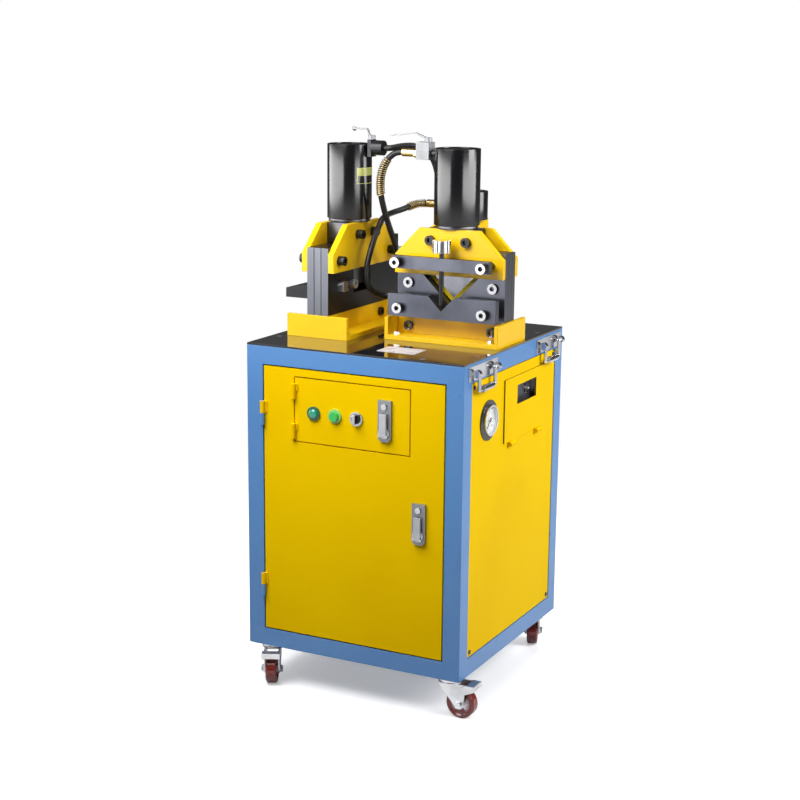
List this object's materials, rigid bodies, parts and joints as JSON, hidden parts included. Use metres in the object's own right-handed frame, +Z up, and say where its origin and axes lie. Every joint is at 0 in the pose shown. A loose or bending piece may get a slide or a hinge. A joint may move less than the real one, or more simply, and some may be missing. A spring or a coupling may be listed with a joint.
{
  "type": "angle iron processing machine",
  "caption": "Wheeled cabinet with hydraulic heads on its deck that cut, notch and punch angle iron, with a control box in the door, gauge, hoses and folding handles.",
  "frame": {"origin": "on the floor under the middle of the cabinet", "axes": "+Z up, front towards -Y, right towards +X"},
  "size_m": [0.543, 0.5641, 1.1848],
  "materials": {
    "blue_paint": "satin powder coat",
    "black_plate": "mirror gloss",
    "yellow_paint": "semi-gloss powder coat",
    "black_gloss": "gloss",
    "machined_steel": "ground, oiled",
    "bright_steel": "polished",
    "zinc": "zinc plated",
    "wheel_red": "moulded polyurethane",
    "hose_rubber": "smooth",
    "spring_steel": "black oxide",
    "brass": "turned",
    "lock_grey": "die-cast, sprayed",
    "lens_green": "moulded",
    "black_plastic": "moulded",
    "white_plastic": "moulded",
    "motor_grey": "satin"
  },
  "bodies": {
    "root": {"frame": "blue_paint", "top_plate": "black_plate", "cabinet_panels": "yellow_paint", "gauge_case": "black_plastic", "hinges": "yellow_paint", "breaker": "black_plastic", "handle_plates": "bright_steel", "caster_plates": "zinc", "oil_tank": "motor_grey", "motor": "motor_grey", "head_bases": "yellow_paint", "stack_plates": "machined_steel", "yoke_slabs": "yellow_paint", "work_rests": "machined_steel", "hold_down_bar": "machined_steel", "punch_frame": "yellow_paint", "cylinders": "black_gloss", "fasteners": "bright_steel", "fittings": "brass", "hose_right": "hose_rubber", "hose_left": "hose_rubber", "hose_punch": "hose_rubber", "hose_guards": "spring_steel"},
    "main_door": {"main_door": "yellow_paint", "door_lock_base": "lock_grey"},
    "control_door": {"control_door": "yellow_paint", "switch_bodies": "black_plastic", "pilot_lamp": "lens_green", "control_lock_base": "lock_grey"},
    "door_lock_rotor": {"door_lock_rotor": "zinc"},
    "door_lock_lever": {"door_lock_lever": "lock_grey"},
    "door_lock_button": {"door_lock_button": "bright_steel"},
    "control_lock_rotor": {"control_lock_rotor": "zinc"},
    "control_lock_lever": {"control_lock_lever": "lock_grey"},
    "control_lock_button": {"control_lock_button": "bright_steel"},
    "start_button": {"start_button": "lens_green"},
    "selector_knob": {"selector_knob": "black_plastic"},
    "gauge_needle": {"gauge_needle": "wheel_red"},
    "side_flap": {"side_flap": "yellow_paint"},
    "breaker_toggle": {"breaker_toggle": "white_plastic"},
    "handle_right_front": {"handle_right_front": "bright_steel"},
    "handle_right_rear": {"handle_right_rear": "bright_steel"},
    "handle_left_rear": {"handle_left_rear": "bright_steel"},
    "handle_left_front": {"handle_left_front": "bright_steel"},
    "caster_fork_front_left": {"caster_fork_front_left": "zinc"},
    "caster_wheel_front_left": {"caster_wheel_front_left": "wheel_red"},
    "brake_pedal_front_left": {"brake_pedal_front_left": "zinc"},
    "caster_fork_front_right": {"caster_fork_front_right": "zinc"},
    "caster_wheel_front_right": {"caster_wheel_front_right": "wheel_red"},
    "brake_pedal_front_right": {"brake_pedal_front_right": "zinc"},
    "caster_fork_rear_left": {"caster_fork_rear_left": "zinc"},
    "caster_wheel_rear_left": {"caster_wheel_rear_left": "wheel_red"},
    "caster_fork_rear_right": {"caster_fork_rear_right": "zinc"},
    "caster_wheel_rear_right": {"caster_wheel_rear_right": "wheel_red"},
    "valve_lever_right": {"valve_lever_right": "spring_steel"},
    "valve_lever_left": {"valve_lever_left": "spring_steel"},
    "cutter_ram": {"cutter_ram": "machined_steel"},
    "notcher_ram": {"notcher_ram": "machined_steel"},
    "punch_ram": {"punch_ram": "machined_steel"},
    "clamp_screw": {"clamp_screw": "bright_steel"}
  },
  "joints": [
    {"name": "main_door_hinge", "type": "hinge", "parent": "root", "child": "main_door", "pos_m": [-0.2105, -0.2623, 0.415], "axis": [0, 0, -1], "range_deg": [0, 115]},
    {"name": "control_door_hinge", "type": "hinge", "parent": "main_door", "child": "control_door", "pos_m": [-0.13575, -0.2623, 0.617], "axis": [0, 0, -1], "range_deg": [0, 115]},
    {"name": "door_lock_turn", "type": "hinge", "parent": "main_door", "child": "door_lock_rotor", "pos_m": [0.156, -0.262, 0.388], "axis": [0, 1, 0], "range_deg": [0, 90]},
    {"name": "door_lock_lift", "type": "hinge", "parent": "door_lock_rotor", "child": "door_lock_lever", "pos_m": [0.156, -0.2691, 0.381], "axis": [1, 0, 0], "range_deg": [0, 45]},
    {"name": "door_lock_press", "type": "slide", "parent": "main_door", "child": "door_lock_button", "axis": [0, 1, 0], "range_m": [0, 0.0025], "stiffness_N_per_m": 400},
    {"name": "control_lock_turn", "type": "hinge", "parent": "control_door", "child": "control_lock_rotor", "pos_m": [0.077, -0.262, 0.593], "axis": [0, 1, 0], "range_deg": [0, 90]},
    {"name": "control_lock_lift", "type": "hinge", "parent": "control_lock_rotor", "child": "control_lock_lever", "pos_m": [0.077, -0.2691, 0.586], "axis": [1, 0, 0], "range_deg": [0, 45]},
    {"name": "control_lock_press", "type": "slide", "parent": "control_door", "child": "control_lock_button", "axis": [0, 1, 0], "range_m": [0, 0.0025], "stiffness_N_per_m": 400},
    {"name": "start_button_press", "type": "slide", "parent": "control_door", "child": "start_button", "axis": [0, 1, 0], "range_m": [0, 0.004], "stiffness_N_per_m": 400},
    {"name": "selector_turn", "type": "hinge", "parent": "control_door", "child": "selector_knob", "pos_m": [0.011, -0.262, 0.613], "axis": [0, 1, 0], "range_deg": [0, 90]},
    {"name": "needle_swing", "type": "hinge", "parent": "root", "child": "gauge_needle", "pos_m": [0.255, -0.135, 0.613], "axis": [-1, 0, 0], "range_deg": [0, 270], "stiffness_Nm_per_rad": 0.002},
    {"name": "side_flap_hinge", "type": "hinge", "parent": "root", "child": "side_flap", "pos_m": [0.2543, 0.049, 0.541], "axis": [0, 1, 0], "range_deg": [0, 100]},
    {"name": "breaker_switch", "type": "hinge", "parent": "root", "child": "breaker_toggle", "pos_m": [0.233, 0.081, 0.6395], "axis": [0, 1, 0], "range_deg": [-18, 18]},
    {"name": "handle_right_front_swing", "type": "hinge", "parent": "root", "child": "handle_right_front", "pos_m": [0.26, -0.169, 0.724], "axis": [0, -1, 0], "range_deg": [0, 90]},
    {"name": "handle_right_rear_swing", "type": "hinge", "parent": "root", "child": "handle_right_rear", "pos_m": [0.26, 0.175, 0.724], "axis": [0, -1, 0], "range_deg": [0, 90]},
    {"name": "handle_left_rear_swing", "type": "hinge", "parent": "root", "child": "handle_left_rear", "pos_m": [-0.26, 0.169, 0.724], "axis": [0, 1, 0], "range_deg": [0, 90]},
    {"name": "handle_left_front_swing", "type": "hinge", "parent": "root", "child": "handle_left_front", "pos_m": [-0.26, -0.175, 0.724], "axis": [0, 1, 0], "range_deg": [0, 90]},
    {"name": "caster_fork_front_left_swivel", "type": "hinge", "parent": "root", "child": "caster_fork_front_left", "pos_m": [-0.213, -0.22, 0.08], "axis": [0, 0, 1], "continuous": true},
    {"name": "caster_wheel_front_left_roll", "type": "hinge", "parent": "caster_fork_front_left", "child": "caster_wheel_front_left", "pos_m": [-0.20117, -0.24538, 0.0315], "axis": [0.9063, 0.4226, 0], "continuous": true},
    {"name": "brake_pedal_front_left_press", "type": "hinge", "parent": "caster_fork_front_left", "child": "brake_pedal_front_left", "pos_m": [-0.19779, -0.25263, 0.062], "axis": [0.9063, 0.4226, 0], "range_deg": [0, 12]},
    {"name": "caster_fork_front_right_swivel", "type": "hinge", "parent": "root", "child": "caster_fork_front_right", "pos_m": [0.213, -0.22, 0.08], "axis": [0, 0, 1], "continuous": true},
    {"name": "caster_wheel_front_right_roll", "type": "hinge", "parent": "caster_fork_front_right", "child": "caster_wheel_front_right", "pos_m": [0.241, -0.22, 0.0315], "axis": [0, 1, 0], "continuous": true},
    {"name": "brake_pedal_front_right_press", "type": "hinge", "parent": "caster_fork_front_right", "child": "brake_pedal_front_right", "pos_m": [0.249, -0.22, 0.062], "axis": [0, 1, 0], "range_deg": [0, 12]},
    {"name": "caster_fork_rear_left_swivel", "type": "hinge", "parent": "root", "child": "caster_fork_rear_left", "pos_m": [-0.213, 0.22, 0.08], "axis": [0, 0, 1], "continuous": true},
    {"name": "caster_wheel_rear_left_roll", "type": "hinge", "parent": "caster_fork_rear_left", "child": "caster_wheel_rear_left", "pos_m": [-0.213, 0.248, 0.0315], "axis": [-1, 0, 0], "continuous": true},
    {"name": "caster_fork_rear_right_swivel", "type": "hinge", "parent": "root", "child": "caster_fork_rear_right", "pos_m": [0.213, 0.22, 0.08], "axis": [0, 0, 1], "continuous": true},
    {"name": "caster_wheel_rear_right_roll", "type": "hinge", "parent": "caster_fork_rear_right", "child": "caster_wheel_rear_right", "pos_m": [0.20342, 0.24631, 0.0315], "axis": [-0.9397, -0.342, 0], "continuous": true},
    {"name": "valve_lever_right_turn", "type": "hinge", "parent": "root", "child": "valve_lever_right", "pos_m": [0.042, -0.0058, 1.16], "axis": [0, 0, 1], "range_deg": [0, 90]},
    {"name": "valve_lever_left_turn", "type": "hinge", "parent": "root", "child": "valve_lever_left", "pos_m": [-0.0955, 0.001, 1.16], "axis": [0, 0, 1], "range_deg": [0, 90]},
    {"name": "cutter_stroke", "type": "slide", "parent": "root", "child": "cutter_ram", "axis": [0, 0, 1], "range_m": [-0.006, 0.04]},
    {"name": "notcher_stroke", "type": "slide", "parent": "root", "child": "notcher_ram", "axis": [0, 0, 1], "range_m": [-0.008, 0.04]},
    {"name": "punch_stroke", "type": "slide", "parent": "root", "child": "punch_ram", "axis": [0, 0, -1], "range_m": [0, 0.032]},
    {"name": "clamp_screw_feed", "type": "slide", "parent": "root", "child": "clamp_screw", "axis": [0, 0, 1], "range_m": [-0.008, 0.016]}
  ]
}
